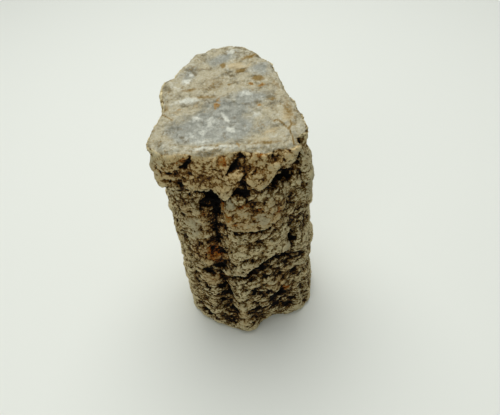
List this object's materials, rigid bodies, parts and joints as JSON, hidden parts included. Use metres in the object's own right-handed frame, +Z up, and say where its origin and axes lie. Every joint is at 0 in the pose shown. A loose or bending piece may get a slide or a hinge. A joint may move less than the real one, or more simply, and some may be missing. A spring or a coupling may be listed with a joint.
{
  "type": "petrified wood branch",
  "caption": "Upright length of silicified wood limb with rough bark-like sides, a thick overhanging cap and a smooth broken top with a shallow bowl.",
  "frame": {"origin": "middle of the outline in plan, on the flat lower break that the stone stands on", "axes": "+Z up along the limb; the face with the overhanging cap looks along -Y; +X to the right of that face"},
  "size_m": [0.0512, 0.048, 0.0965],
  "materials": {
    "silicified_wood": "rough tan-grey rind with near-black crevices, ochre and rust stains; grey-blue waxy chalcedony on the top break"
  },
  "bodies": {
    "root": {"petrified_wood_branch": "silicified_wood"}
  },
  "joints": []
}
